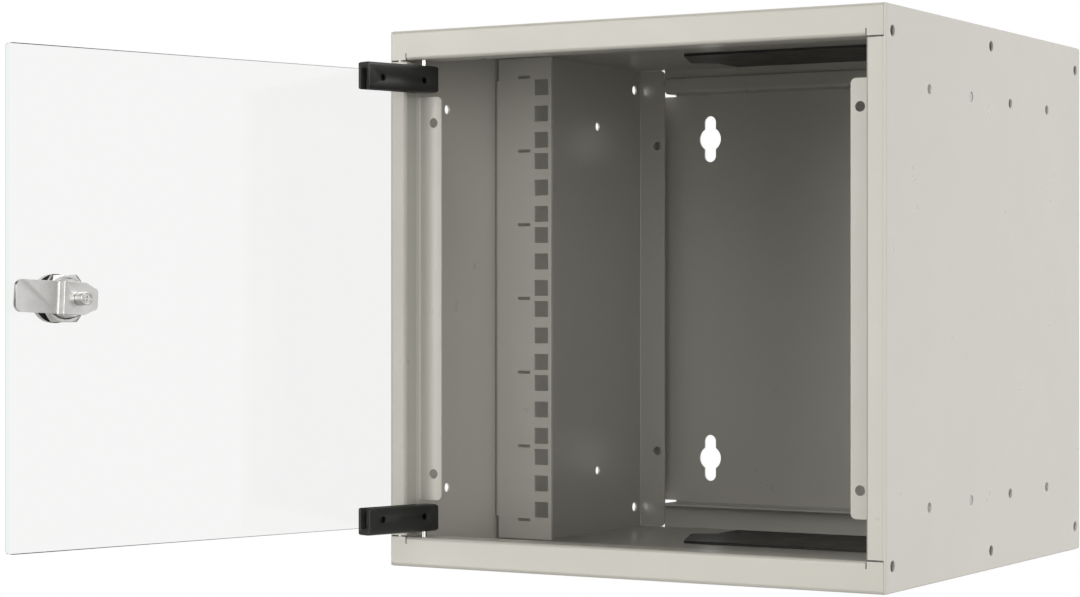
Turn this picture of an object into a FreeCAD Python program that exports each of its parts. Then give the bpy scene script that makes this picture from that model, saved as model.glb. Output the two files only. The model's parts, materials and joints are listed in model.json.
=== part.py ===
import FreeCAD, Part
import math
import os

# Wall mount cabinet for 10 inch network equipment, six units high, with a glass door.
# Millimetres. X to the right, Z up, the front faces -Y, the wall face lies on Y = 0.
# The origin is the centre of the wall face. The door stands open at its rest pose.

os.makedirs("parts", exist_ok=True)
V = FreeCAD.Vector

# ---------------------------------------------------------------- driving sizes
WIDTH = 305.0
HEIGHT = 305.0
SHELL_DEPTH = 301.0
SHEET = 1.2
BEND_IN = 0.8
PANEL_FIT = 0.05

UNIT = 44.45
UNITS = 6
RACK_HOLE_SPAN = 236.5
RACK_OPENING = 222.8
SQUARE_HOLE = 9.5
SQUARE_PITCH = 15.875
RAIL_SHEET = 2.0
RAIL_DEPTH = 112.5
RAIL_FLANGE = 17.0
RAIL_END_GAP = 6.5
RAIL_FLANGE_END = 13.0
UNIT_SLOT_W = 8.6
UNIT_SLOT_H = 1.8
UNIT_SLOT_OFFSET = 12.0

FRONT_FLANGE_H = 17.0
FRONT_LIP = 16.0
JAMB_W = 11.2
JAMB_LIP = 14.2
STOP_W = 14.6
STOP_SHORT = 20.2
STOP_HOLE_END = 15.0
STOP_HOLE_IN = 5.4
STOP_HOLE_DIA = 5.5
REAR_FLANGE_W = 19.5
REAR_FLANGE_H = 15.7
REAR_HOLE_END = 50.0
REAR_HOLE_IN = 5.6
SEAM = 0.7
REAR_SEAM = 0.3

SHELL_HOLE_DIA = 6.0
SHELL_HOLE_END = 9.1
SHELL_HOLE_DROP = 14.1
SHELL_HOLE_MID_DROP = 10.8
RAIL_HOLE_DIA = 5.5
RAIL_HOLE_FIRST = 59.3
RAIL_HOLE_PITCH = 60.8
RAIL_HOLE_COUNT = 4
RAIL_HOLE_DROP = 41.1
SCREW_HEAD_DIA = 8.6
SCREW_HEAD_H = 2.6

BACK_STANDOFF = 12.0
BACK_INSET = 6.5
TRAY_CLEAR = 0.2
HOOK_SIDE_GAP = 2.0
HOOK_UP = 9.9
HOOK_GAP = 1.0
FOOT_REACH = 11.0
BACK_RELIEF = 1.5
KEYHOLE_X = 105.7
KEYHOLE_Z = 105.6
KEYHOLE_DIA = 15.6
KEYHOLE_SLOT = 8.3
KEYHOLE_TALL = 30.4

COVER_T = 1.6
COVER_DEPTH = 86.0
COVER_FRONT_HALF = 66.0
COVER_EAR_HALF = 84.0
COVER_NECK_HALF = 71.0
COVER_EAR_FROM = 42.0
COVER_EAR_TO = 38.0
COVER_NECK = 30.0
COVER_REAR_GAP = 17.0
COVER_FIT = 0.4

DOOR_OPEN = 106.9
GLASS_T = 4.0
GLASS_EDGE_GAP = 1.6
GLASS_FACE_DEPTH = 0.0
PIVOT_IN = 9.5
PIVOT_DEPTH = 4.2
PIN_DIA = 3.0
PIN_CLEAR = 0.05
PIN_GAP = 3.2

CLAMP_T = 9.8
CLAMP_CORNER = 2.4
CLAMP_CHAMFER = 0.9
CLAMP_H = 15.3
CLAMP_TAIL = 8.5
CLAMP_REACH = 42.5
CLAMP_CAP = 4.05
LINER_T = 0.6
LINER_START = 5.0
GRUB_DIA = 4.0
GRUB_KEY = 2.0
GRUB_NEAR = 2.0
GRUB_FAR = 32.5
GRUB_RISE = 6.7

LOCK_EDGE = 29.8
LOCK_BODY_DIA = 20.0
LOCK_BEZEL_DIA = 25.0
LOCK_BEZEL_T = 4.6
LOCK_WASHER_T = 0.8
LOCK_NUT_AF = 24.0
LOCK_NUT_CHAMFER = 1.5
LOCK_SEAL_DIA = 24.2
LOCK_NUT_T = 5.0
LOCK_BODY_REAR = 13.4
LOCK_REAR = 17.9
PLUG_DIA = 13.9
PLUG_CLEAR = 0.05
CAM_T = 2.2
CAM_W = 16.4
CAM_BACK = 10.4
CAM_TAIL_W = 11.4
CAM_TAIL_FROM = 3.0
CAM_TAIL_CORNER = 2.4
CAM_TIP_CORNER = 3.8
CAM_EDGE = 0.4
CAM_RISER_GAP = 0.4
CAM_SPIGOT = 5.6
CAM_HEAD_DIA = 6.8
CAM_HEAD_H = 6.2
CAM_HEAD_CHAMFER = 0.6
CAM_REACH = 34.6
CAM_TILT = 3.0
CAM_GAP = 0.3
CAM_STOP_CLEAR = 0.5

# ---------------------------------------------------------------- derived values
HALF_W = WIDTH / 2.0
HALF_H = HEIGHT / 2.0
BACK_FACE = SHELL_DEPTH + BACK_STANDOFF
TOTAL_DEPTH = BACK_FACE + SHEET
IN_W = HALF_W - SHEET
IN_H = HALF_H - SHEET
LIP_LEVEL = HALF_H - FRONT_FLANGE_H
JAMB_EDGE = HALF_W - JAMB_W
STOP_HALF = LIP_LEVEL - STOP_SHORT
RAIL_HOLE_HALF = HALF_H - RAIL_HOLE_DROP
REAR_EDGE = HALF_W - REAR_FLANGE_W
HOOK_HALF_W = REAR_EDGE - HOOK_SIDE_GAP
TRAY_HALF_H = HALF_H - REAR_FLANGE_H - TRAY_CLEAR
BACK_HALF_W = HALF_W - BACK_INSET
PIVOT_X = -(JAMB_EDGE - PIVOT_IN)
PIVOT_Y = PIVOT_DEPTH - TOTAL_DEPTH
GLASS_REACH = JAMB_EDGE - GLASS_EDGE_GAP - PIVOT_X
LOCK_S = GLASS_REACH - LOCK_EDGE
GLASS_MID = GLASS_FACE_DEPTH + GLASS_T / 2.0
CLAMP_TOP = LIP_LEVEL - PIN_GAP
CLAMP_BOTTOM = CLAMP_TOP - CLAMP_H
GLASS_HALF = CLAMP_TOP - CLAMP_CAP
GRUB_Z = CLAMP_BOTTOM + GRUB_RISE


def box(x0, x1, d0, d1, z0, z1):
    """A block between two X, two depths behind the front plane and two Z."""
    return Part.makeBox(x1 - x0, d1 - d0, z1 - z0, V(x0, d0 - TOTAL_DEPTH, z0))


def rod(x, d, z, axis, length, dia):
    """A cylinder that starts at a point given by X, depth and Z."""
    return Part.makeCylinder(dia / 2.0, length, V(x, d - TOTAL_DEPTH, z), axis)


def bent_strip(points, t, inner):
    """A face of constant thickness along a line with rounded bends."""
    mid = inner + t / 2.0
    pts = [V(p[0], p[1], 0) for p in points]
    marks = []
    for i in range(1, len(pts) - 1):
        a = (pts[i] - pts[i - 1]).normalize()
        b = (pts[i + 1] - pts[i]).normalize()
        turn = 1.0 if a.x * b.y - a.y * b.x > 0 else -1.0
        start = pts[i] - a * mid
        end = pts[i] + b * mid
        left = V(-a.y, a.x, 0) * turn
        centre = start + left * mid
        middle = centre + (pts[i] - centre).normalize() * mid
        marks.append((start, middle, end, centre, turn))

    def side(offset):
        edges = []
        here = pts[0]
        for start, middle, end, centre, turn in marks:
            a = (start - here).normalize()
            n = V(-a.y, a.x, 0) * offset
            edges.append(Part.LineSegment(here + n, start + n).toShape())
            k = (mid - turn * offset) / mid
            p0 = centre + (start - centre) * k
            p1 = centre + (middle - centre) * k
            p2 = centre + (end - centre) * k
            edges.append(Part.Arc(p0, p1, p2).toShape())
            here = end
        a = (pts[-1] - here).normalize()
        n = V(-a.y, a.x, 0) * offset
        edges.append(Part.LineSegment(here + n, pts[-1] + n).toShape())
        return edges

    one = side(t / 2.0)
    two = side(-t / 2.0)
    caps = []
    for index in (0, -1):
        p = one[index].Vertexes[index].Point
        q = two[index].Vertexes[index].Point
        caps.append(Part.LineSegment(p, q).toShape())
    return Part.Face(Part.Wire(Part.__sortEdges__(one + two + caps)))


def plan_sheet(points, z0, z1, t=SHEET, inner=BEND_IN):
    """Bent sheet whose section is drawn in X and depth and runs along Z."""
    face = bent_strip([(x, d - TOTAL_DEPTH) for x, d in points], t, inner)
    face.translate(V(0, 0, z0))
    return face.extrude(V(0, 0, z1 - z0))


def side_sheet(points, x0, x1, t=SHEET, inner=BEND_IN):
    """Bent sheet whose section is drawn in depth and Z and runs along X."""
    face = bent_strip([(d - TOTAL_DEPTH, z) for d, z in points], t, inner)
    face.rotate(V(0, 0, 0), V(1, 1, 1), 120)
    face.translate(V(x0, 0, 0))
    return face.extrude(V(x1 - x0, 0, 0))


def cut_all(shape, tools):
    return shape.cut(tools) if tools else shape


def mirror_x(shape):
    return shape.mirror(V(0, 0, 0), V(1, 0, 0))


def mirror_z(shape):
    return shape.mirror(V(0, 0, 0), V(0, 0, 1))


def prism_xy(points, z0, z1):
    """A flat-sided prism from X and depth corners."""
    pts = [V(x, d - TOTAL_DEPTH, z0) for x, d in points]
    wire = Part.makePolygon(pts + [pts[0]])
    return Part.Face(wire).extrude(V(0, 0, z1 - z0))


def rounded_slot_y(x, z, wide, tall, d0, d1):
    """A slot with round ends, cut along Y. The longer side gets the round ends."""
    r = min(wide, tall) / 2.0
    parts = []
    if wide > tall:
        parts.append(box(x - wide / 2.0 + r, x + wide / 2.0 - r, d0, d1, z - r, z + r))
        ends = [(x - wide / 2.0 + r, z), (x + wide / 2.0 - r, z)]
    else:
        parts.append(box(x - r, x + r, d0, d1, z - tall / 2.0 + r, z + tall / 2.0 - r))
        ends = [(x, z - tall / 2.0 + r), (x, z + tall / 2.0 - r)]
    for ex, ez in ends:
        parts.append(rod(ex, d0, ez, V(0, 1, 0), d1 - d0, 2 * r))
    return parts[0].fuse(parts[1:]).removeSplitter()


def fillet_where(shape, radius, test):
    edges = [e for e in shape.Edges if test(e)]
    return shape.makeFillet(radius, edges)


def chamfer_where(shape, size, test):
    edges = [e for e in shape.Edges if test(e)]
    return shape.makeChamfer(size, edges)


def straight_along(edge, axis):
    if len(edge.Vertexes) != 2 or not isinstance(edge.Curve, (Part.Line, Part.LineSegment)):
        return False
    d = edge.Vertexes[1].Point - edge.Vertexes[0].Point
    return d.Length > 1e-6 and abs(d.normalize().dot(axis)) > 0.999


def save(name, shape):
    shape.exportStep("parts/" + name + ".step")
    print(name, len(shape.Solids), round(shape.Volume, 1), shape.isValid())


# ---------------------------------------------------------------- side panels
def make_side_panel():
    """Left side panel: jamb flange, return lip, door stop, wall and rear flange."""
    mid = SHEET / 2.0
    jamb = JAMB_EDGE + mid
    inner_stop = -(JAMB_EDGE - STOP_W)
    inner_rear = -REAR_EDGE
    points = []
    points.append((inner_stop, JAMB_LIP + mid))
    points.append((-jamb, JAMB_LIP + mid))
    points.append((-jamb, mid))
    points.append((-(HALF_W - mid), mid))
    points.append((-(HALF_W - mid), SHELL_DEPTH - mid))
    points.append((inner_rear, SHELL_DEPTH - mid))
    top = HALF_H - SHEET / 2.0
    panel = plan_sheet(points, -top, top)
    tools = []
    front_end = LIP_LEVEL - SEAM
    for s in (-1, 1):
        # The jamb stops short of the top and bottom flanges.
        z0, z1 = sorted((s * front_end, s * (top + 1)))
        tools.append(box(-IN_W, inner_stop + 1, -1, JAMB_LIP + 5, z0, z1))
        # The door stop is shorter than its lip.
        z0, z1 = sorted((s * STOP_HALF, s * (top + 1)))
        tools.append(box(-JAMB_EDGE, inner_stop + 1, 5, JAMB_LIP + 5, z0, z1))
        tools.append(box(-HALF_W + 5, inner_stop + 1, JAMB_LIP - 1.2, JAMB_LIP + 5, z0, z1))
        # The rear flange stops under the top panel.
        z0, z1 = sorted((s * (IN_H - 0.1), s * (top + 1)))
        tools.append(box(-IN_W, inner_rear + 1, SHELL_DEPTH - 5, SHELL_DEPTH + 1, z0, z1))
        stop_x = inner_stop - STOP_HOLE_IN
        stop_z = s * (STOP_HALF - STOP_HOLE_END)
        tools.append(rod(stop_x, JAMB_LIP - 1, stop_z, V(0, 1, 0), 4, STOP_HOLE_DIA))
        rear_x = inner_rear - REAR_HOLE_IN
        rear_z = s * (IN_H - REAR_HOLE_END)
        tools.append(rod(rear_x, SHELL_DEPTH - 3, rear_z, V(0, 1, 0), 6, STOP_HOLE_DIA))
        holes = []
        drop = HALF_H - SHELL_HOLE_DROP
        holes.append((SHELL_HOLE_END, drop, SHELL_HOLE_DIA))
        holes.append((SHELL_DEPTH - SHELL_HOLE_END, drop, SHELL_HOLE_DIA))
        holes.append((SHELL_DEPTH / 2.0, HALF_H - SHELL_HOLE_MID_DROP, SHELL_HOLE_DIA))
        for k in range(RAIL_HOLE_COUNT):
            depth = RAIL_HOLE_FIRST + k * RAIL_HOLE_PITCH
            holes.append((depth, RAIL_HOLE_HALF, RAIL_HOLE_DIA))
        for depth, z, dia in holes:
            tools.append(rod(-HALF_W - 1, depth, s * z, V(1, 0, 0), 4, dia))
    panel = cut_all(panel, tools)
    # Rounded free corners of the door stop and of the rear flange.

    def free_corner(e):
        if not straight_along(e, V(0, 1, 0)) or e.Length > SHEET + 0.05:
            return False
        p = e.CenterOfMass
        at_stop = abs(p.x - inner_stop) < 0.05 and abs(abs(p.z) - STOP_HALF) < 0.05
        at_rear = abs(p.x - inner_rear) < 0.05 and abs(abs(p.z) - IN_H + 0.1) < 0.05
        return at_stop or at_rear

    return fillet_where(panel, 3.0, free_corner)


left_side = make_side_panel()
save("left_side_panel", left_side)
save("right_side_panel", mirror_x(left_side))


# ---------------------------------------------------------------- top and bottom
COVER_END = SHELL_DEPTH - COVER_REAR_GAP
COVER_HALF = [
    (COVER_FRONT_HALF, COVER_END - COVER_DEPTH),
    (COVER_EAR_HALF, COVER_END - COVER_EAR_FROM),
    (COVER_EAR_HALF, COVER_END - COVER_EAR_TO),
    (COVER_NECK_HALF, COVER_END - COVER_NECK),
    (COVER_NECK_HALF, COVER_END),
]
COVER_OUTLINE = COVER_HALF + [(-x, d) for x, d in reversed(COVER_HALF)]
COVER_OVERLAP = 6.0


def shrink(points, by):
    """The same outline moved inwards by a distance."""
    pts = [V(x, d, 0) for x, d in points]
    face = Part.Face(Part.makePolygon(pts + [pts[0]]))
    wire = face.OuterWire.makeOffset2D(-by)
    if abs(Part.Face(wire).Area) > face.Area:
        wire = face.OuterWire.makeOffset2D(by)
    return [(v.Point.x, v.Point.y) for v in wire.OrderedVertexes]


ENTRY = shrink(COVER_OUTLINE, COVER_OVERLAP)


def make_top_panel(with_pivot):
    """Top panel: front flange with a return lip, rear flange and a cable entry."""
    mid = SHEET / 2.0
    points = []
    points.append((FRONT_LIP, LIP_LEVEL + mid))
    points.append((mid, LIP_LEVEL + mid))
    points.append((mid, HALF_H - mid))
    points.append((SHELL_DEPTH - mid, HALF_H - mid))
    points.append((SHELL_DEPTH - mid, TRAY_HALF_H + TRAY_CLEAR))
    reach = IN_W - PANEL_FIT
    panel = side_sheet(points, -reach, reach)
    tools = []
    tabs = []
    lip_end = JAMB_EDGE - 0.1
    for s in (-1, 1):
        x0, x1 = sorted((s * lip_end, s * (reach + 1)))
        tools.append(box(x0, x1, -1, FRONT_LIP + 1, LIP_LEVEL - 1, LIP_LEVEL + 4.0))
        x0, x1 = sorted((s * (lip_end + 0.7), s * reach))
        tabs.append(box(x0, x1, 0, SHEET, LIP_LEVEL + 0.1, LIP_LEVEL + 4.0))
        x0, x1 = sorted((s * (REAR_EDGE - REAR_SEAM), s * (reach + 1)))
        tools.append(box(x0, x1, SHELL_DEPTH - 5, SHELL_DEPTH + 1, 0, IN_H))
    tools.append(prism_xy(ENTRY, IN_H - 1, HALF_H + 1))
    if with_pivot:
        hole = PIN_DIA + 2 * PIN_CLEAR
        tools.append(rod(PIVOT_X, PIVOT_DEPTH, LIP_LEVEL - 1, V(0, 0, 1), 4, hole))
    panel = cut_all(panel, tools)
    return panel.fuse(tabs).removeSplitter()


top_panel = make_top_panel(True)
save("top_panel", top_panel)
save("bottom_panel", mirror_z(top_panel))


def make_cover():
    """Cable entry cover: plate under the sheet with a rim that fits the entry."""
    plate = prism_xy(COVER_OUTLINE, IN_H - COVER_T, IN_H)
    rim_out = prism_xy(shrink(COVER_OUTLINE, COVER_OVERLAP + COVER_FIT), IN_H, HALF_H - 0.2)
    rim_in = prism_xy(shrink(COVER_OUTLINE, COVER_OVERLAP + COVER_FIT + 2.0), IN_H, HALF_H)
    return plate.fuse(rim_out.cut(rim_in)).removeSplitter()


cover = make_cover()
save("top_cable_cover", cover)
save("bottom_cable_cover", mirror_z(cover))


# ---------------------------------------------------------------- back panel
def make_back_panel():
    """Back panel: a shallow tray that hooks on the top and bottom rear flanges."""
    mid = SHEET / 2.0
    wall = TRAY_HALF_H - mid
    hook_depth = SHELL_DEPTH - SHEET - HOOK_GAP - mid
    points = []
    points.append((hook_depth, wall - mid + HOOK_UP))
    points.append((hook_depth, wall))
    points.append((BACK_FACE + mid, wall))
    points.append((BACK_FACE + mid, -wall))
    points.append((SHELL_DEPTH - FOOT_REACH, -wall))
    tray = side_sheet(points, -HOOK_HALF_W, HOOK_HALF_W)
    edge = BACK_HALF_W - mid
    side = []
    side.append((-edge, SHELL_DEPTH + 0.3))
    side.append((-edge, BACK_FACE + mid))
    side.append((edge, BACK_FACE + mid))
    side.append((edge, SHELL_DEPTH + 0.3))
    plate = plan_sheet(side, -(wall - BACK_RELIEF), wall - BACK_RELIEF)
    panel = tray.fuse(plate).removeSplitter()
    tools = []
    for sx in (-1, 1):
        for sz in (-1, 1):
            x, z = sx * KEYHOLE_X, sz * KEYHOLE_Z
            d0, d1 = BACK_FACE - 1, TOTAL_DEPTH + 1
            hole = rod(x, d0, z, V(0, 1, 0), d1 - d0, KEYHOLE_DIA)
            slot = rounded_slot_y(x, z, KEYHOLE_SLOT, KEYHOLE_TALL, d0, d1)
            tools.append(hole.fuse(slot))
    return cut_all(panel, tools)


save("back_panel", make_back_panel())


# ---------------------------------------------------------------- rack rails
def make_rail():
    """Left rack rail: angle with square holes, unit marks and a fixing flange."""
    mid = RAIL_SHEET / 2.0
    wall = IN_W - PANEL_FIT
    half = IN_H - RAIL_END_GAP
    inner = RACK_OPENING / 2.0
    points = []
    points.append((-inner, RAIL_DEPTH + mid))
    points.append((-(wall - mid), RAIL_DEPTH + mid))
    points.append((-(wall - mid), RAIL_DEPTH + RAIL_FLANGE))
    rail = plan_sheet(points, -half, half, RAIL_SHEET, 1.0)
    tools = []
    for s in (-1, 1):
        z0, z1 = sorted((s * (half - RAIL_FLANGE_END), s * (half + 1)))
        tools.append(box(-wall - 1, -wall + 3.2, RAIL_DEPTH - 1, RAIL_DEPTH + 30, z0, z1))
        screw_depth = RAIL_HOLE_FIRST + RAIL_HOLE_PITCH
        fix_z = s * RAIL_HOLE_HALF
        tools.append(rod(-wall - 1, screw_depth, fix_z, V(1, 0, 0), 5, RAIL_HOLE_DIA))
    base = -UNITS * UNIT / 2.0
    d0, d1 = RAIL_DEPTH - 1, RAIL_DEPTH + RAIL_SHEET + 1
    hole_x = -RACK_HOLE_SPAN / 2.0
    for u in range(UNITS):
        centre = base + (u + 0.5) * UNIT
        for k in (-1, 0, 1):
            z = centre + k * SQUARE_PITCH
            h = SQUARE_HOLE / 2.0
            tools.append(box(hole_x - h, hole_x + h, d0, d1, z - h, z + h))
    for u in range(UNITS + 1):
        z = base + u * UNIT
        x = hole_x - UNIT_SLOT_OFFSET
        w, h = UNIT_SLOT_W / 2.0, UNIT_SLOT_H / 2.0
        tools.append(box(x - w, x + w, d0, d1, z - h, z + h))
    return cut_all(rail, tools)


left_rail = make_rail()
save("left_rack_rail", left_rail)
save("right_rack_rail", mirror_x(left_rail))


def make_rail_screws():
    """Two pan head screws that hold the left rail to its side panel."""
    screws = []
    depth = RAIL_HOLE_FIRST + RAIL_HOLE_PITCH
    face = -(IN_W - PANEL_FIT) + RAIL_SHEET
    for s in (-1, 1):
        z = s * RAIL_HOLE_HALF
        head = rod(face, depth, z, V(1, 0, 0), SCREW_HEAD_H, SCREW_HEAD_DIA)
        end = face + SCREW_HEAD_H
        head = chamfer_where(head, 1.2, lambda e: abs(e.CenterOfMass.x - end) < 0.01)
        shank = rod(-HALF_W + 0.3, depth, z, V(1, 0, 0), face + HALF_W - 0.2, RAIL_HOLE_DIA)
        screws.append(head.fuse(shank))
    return Part.makeCompound(screws)


left_screws = make_rail_screws()
save("left_rail_screws", left_screws)
save("right_rail_screws", mirror_x(left_screws))


# ---------------------------------------------------------------- door, drawn closed
def door_box(s0, s1, n0, n1, z0, z1):
    """A block on the door: s from the pivot, n behind the middle of the glass."""
    return box(PIVOT_X + s0, PIVOT_X + s1, GLASS_MID + n0, GLASS_MID + n1, z0, z1)


def door_rod(s, n, z, length, dia):
    """A cylinder square to the glass, running inwards from n."""
    return rod(PIVOT_X + s, GLASS_MID + n, z, V(0, 1, 0), length, dia)


def hex_rod(s, n, z, length, flats):
    """A hexagonal rod square to the glass."""
    r = flats / math.sqrt(3.0)
    pts = []
    for i in range(6):
        a = math.radians(60 * i)
        x = PIVOT_X + s + r * math.cos(a)
        pts.append(V(x, GLASS_MID + n - TOTAL_DEPTH, z + r * math.sin(a)))
    face = Part.Face(Part.makePolygon(pts + [pts[0]]))
    return face.extrude(V(0, length, 0))


def open_door(shape):
    """Swings a closed door piece to the rest pose."""
    out = shape.copy()
    out.rotate(V(PIVOT_X, PIVOT_Y, 0), V(0, 0, 1), -DOOR_OPEN)
    return out


def make_clamp():
    """Upper hinge clamp: rounded block with a slot for the corner of the glass."""
    half = CLAMP_T / 2.0
    block = door_box(-CLAMP_TAIL, CLAMP_REACH, -half, half, CLAMP_BOTTOM, CLAMP_TOP)
    x_tail = PIVOT_X - CLAMP_TAIL
    y_mid = GLASS_MID - TOTAL_DEPTH

    def through(e):
        return straight_along(e, V(0, 1, 0))

    def tail_outer(e):
        p = e.CenterOfMass
        return straight_along(e, V(0, 0, 1)) and abs(p.x - x_tail) < 0.01 and p.y < y_mid

    def on_face(e):
        return abs(abs(e.CenterOfMass.y - y_mid) - half) < 0.01

    face = fillet_where(block, CLAMP_CORNER, through)
    face = chamfer_where(face, CLAMP_CHAMFER, on_face)
    plan = fillet_where(block, 4.8, tail_outer)
    block = face.common(plan)
    slot = GLASS_T / 2.0 + LINER_T
    slot_top = GLASS_HALF + LINER_T
    cut = [door_box(LINER_START, CLAMP_REACH + 1, -slot, slot, CLAMP_BOTTOM - 1, slot_top)]
    cut.append(rod(PIVOT_X, PIVOT_DEPTH, CLAMP_BOTTOM + 9.4, V(0, 0, 1), 20, PIN_DIA))
    cut.append(door_rod(GRUB_FAR, slot - 0.5, GRUB_Z, 20, GRUB_DIA))
    cut.append(door_rod(GRUB_NEAR, -1.0, GRUB_Z, 20, GRUB_DIA))
    return block.cut(cut)


def make_clamp_liner():
    """Rubber channel between the clamp and the glass."""
    slot = GLASS_T / 2.0 + LINER_T
    slot_top = GLASS_HALF + LINER_T
    end = CLAMP_REACH - 0.6
    liner = door_box(LINER_START, end, -slot, slot, CLAMP_BOTTOM + 0.5, slot_top)
    inside = GLASS_T / 2.0
    start = LINER_START + LINER_T
    return liner.cut(door_box(start, end + 1, -inside, inside, 0, GLASS_HALF))


def make_grubs():
    """Two socket grub screws: one grips the glass, one fills the pin end."""
    half = CLAMP_T / 2.0
    out = []
    for s, start in ((GRUB_FAR, GLASS_T / 2.0 + LINER_T), (GRUB_NEAR, -1.0)):
        end = half - 0.5
        grub = door_rod(s, start, GRUB_Z, end - start, GRUB_DIA)
        out.append(grub.cut(hex_rod(s, end - 1.1, GRUB_Z, 3, GRUB_KEY)))
    return Part.makeCompound(out)


def make_pin():
    """Hinge pin: pressed in the clamp and turning in the front lip."""
    bottom = CLAMP_BOTTOM + 9.4
    length = LIP_LEVEL + SHEET + 1.8 - bottom
    pin = rod(PIVOT_X, PIVOT_DEPTH, bottom, V(0, 0, 1), length, PIN_DIA)
    return pin.makeChamfer(0.4, [e for e in pin.Edges if e.CenterOfMass.z > bottom + length - 0.01])


def make_glass():
    """Tempered glass pane with polished edges and the lock hole."""
    half = GLASS_T / 2.0
    tall = GLASS_HALF
    start = LINER_START + LINER_T
    pane = door_box(start, GLASS_REACH, -half, half, -tall, tall)
    pane = fillet_where(pane, 2.0, lambda e: straight_along(e, V(0, 1, 0)))
    pane = pane.makeChamfer(0.4, [e for e in pane.Edges if not straight_along(e, V(0, 1, 0))])
    return pane.cut(door_rod(LOCK_S, -half - 1, 0, GLASS_T + 2, LOCK_BODY_DIA + 0.5))


def make_lock_housing():
    """Lock housing: outer bezel and the threaded body that passes the glass."""
    outer = -(GLASS_T / 2.0 + LOCK_WASHER_T)
    bezel = door_rod(LOCK_S, outer - LOCK_BEZEL_T, 0, LOCK_BEZEL_T, LOCK_BEZEL_DIA)
    front = GLASS_MID + outer - LOCK_BEZEL_T - TOTAL_DEPTH
    bezel = chamfer_where(bezel, 1.4, lambda e: abs(e.CenterOfMass.y - front) < 0.01)
    body = door_rod(LOCK_S, outer, 0, LOCK_BODY_REAR - outer, LOCK_BODY_DIA)
    start = outer - LOCK_BEZEL_T - 1
    bore = door_rod(LOCK_S, start, 0, LOCK_BODY_REAR - start + 1, PLUG_DIA + 2 * PLUG_CLEAR)
    return bezel.fuse(body).cut(bore)


def make_washer(n0, n1, dia):
    ring = door_rod(LOCK_S, n0, 0, n1 - n0, dia)
    return ring.cut(door_rod(LOCK_S, n0 - 1, 0, n1 - n0 + 2, LOCK_BODY_DIA))


def make_lock_nut():
    """Hexagon nut with chamfered corners that draws the lock against the glass."""
    n0 = GLASS_T / 2.0 + LOCK_WASHER_T
    nut = hex_rod(LOCK_S, n0, 0, LOCK_NUT_T, LOCK_NUT_AF)
    r = LOCK_NUT_AF / math.sqrt(3.0)
    y0 = GLASS_MID + n0 - TOTAL_DEPTH
    slope = LOCK_NUT_T + LOCK_NUT_CHAMFER
    centre = V(PIVOT_X + LOCK_S, y0 - LOCK_NUT_CHAMFER, 0)
    cone = Part.makeCone(r + LOCK_NUT_T, r - LOCK_NUT_CHAMFER, slope, centre, V(0, 1, 0))
    nut = nut.common(cone)
    return nut.cut(door_rod(LOCK_S, n0 - 1, 0, LOCK_NUT_T + 2, LOCK_BODY_DIA))


PLATE_N0 = LOCK_REAR + CAM_GAP
PLATE_N1 = PLATE_N0 + CAM_T
TONGUE_N0 = JAMB_LIP + SHEET + CAM_STOP_CLEAR - GLASS_MID
TONGUE_N1 = TONGUE_N0 + CAM_T
RISER_IN = PLUG_DIA / 2.0 + CAM_RISER_GAP
RISER_OUT = RISER_IN + CAM_T


def make_plug():
    """Key plug that turns in the housing and carries the cam."""
    front = -(GLASS_T / 2.0 + LOCK_WASHER_T) - LOCK_BEZEL_T - 0.4
    plug = door_rod(LOCK_S, front, 0, LOCK_REAR - front, PLUG_DIA)
    square = CAM_SPIGOT / 2.0
    spigot = door_box(LOCK_S - square, LOCK_S + square, LOCK_REAR, PLATE_N1 - 0.1, -square, square)
    seat = door_rod(LOCK_S, LOCK_REAR, 0, CAM_GAP, PLUG_DIA - 2.0)
    plug = plug.fuse([seat, spigot])
    key = door_box(LOCK_S - 1.1, LOCK_S + 1.1, front - 1, front + 7, -4.2, 4.2)
    thread = door_rod(LOCK_S, LOCK_REAR - 6, 0, 20, 4.0)
    return plug.cut([key, thread])


def make_cam():
    """Stepped cam: flat plate with a tapered tail, a sharp riser and a tongue."""
    half = CAM_W / 2.0
    tail = CAM_TAIL_W / 2.0
    centre = PIVOT_X + LOCK_S
    plate = door_box(LOCK_S - CAM_BACK, LOCK_S + RISER_OUT, PLATE_N0, PLATE_N1, -half, half)
    riser = door_box(LOCK_S + RISER_IN, LOCK_S + RISER_OUT, TONGUE_N0, PLATE_N1, -half, half)
    tongue = door_box(LOCK_S + RISER_IN, LOCK_S + CAM_REACH, TONGUE_N0, TONGUE_N1, -half, half)
    bar = plate.fuse([riser, tongue]).removeSplitter()
    crest = V(centre + RISER_OUT, GLASS_MID + PLATE_N1 - TOTAL_DEPTH, 0)
    bar = fillet_where(bar, CAM_EDGE, lambda e: e.CenterOfMass.distanceToPoint(crest) < 0.01)
    y = GLASS_MID + TONGUE_N0 - 1 - TOTAL_DEPTH
    outline = []
    outline.append(V(centre - CAM_BACK, y, tail))
    outline.append(V(centre - CAM_TAIL_FROM, y, half))
    outline.append(V(centre + CAM_REACH, y, half))
    outline.append(V(centre + CAM_REACH, y, -half))
    outline.append(V(centre - CAM_TAIL_FROM, y, -half))
    outline.append(V(centre - CAM_BACK, y, -tail))
    blank = Part.Face(Part.makePolygon(outline + [outline[0]]))
    blank = blank.extrude(V(0, PLATE_N1 - TONGUE_N0 + 2, 0))

    def corner_at(x):
        return lambda e: straight_along(e, V(0, 1, 0)) and abs(e.CenterOfMass.x - x) < 0.01

    blank = fillet_where(blank, CAM_TAIL_CORNER, corner_at(centre - CAM_BACK))
    blank = fillet_where(blank, CAM_TIP_CORNER, corner_at(centre + CAM_REACH))
    square = CAM_SPIGOT / 2.0
    hole = door_box(LOCK_S - square, LOCK_S + square, PLATE_N0 - 1, PLATE_N1 + 1, -square, square)
    return bar.common(blank).cut(hole)


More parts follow.
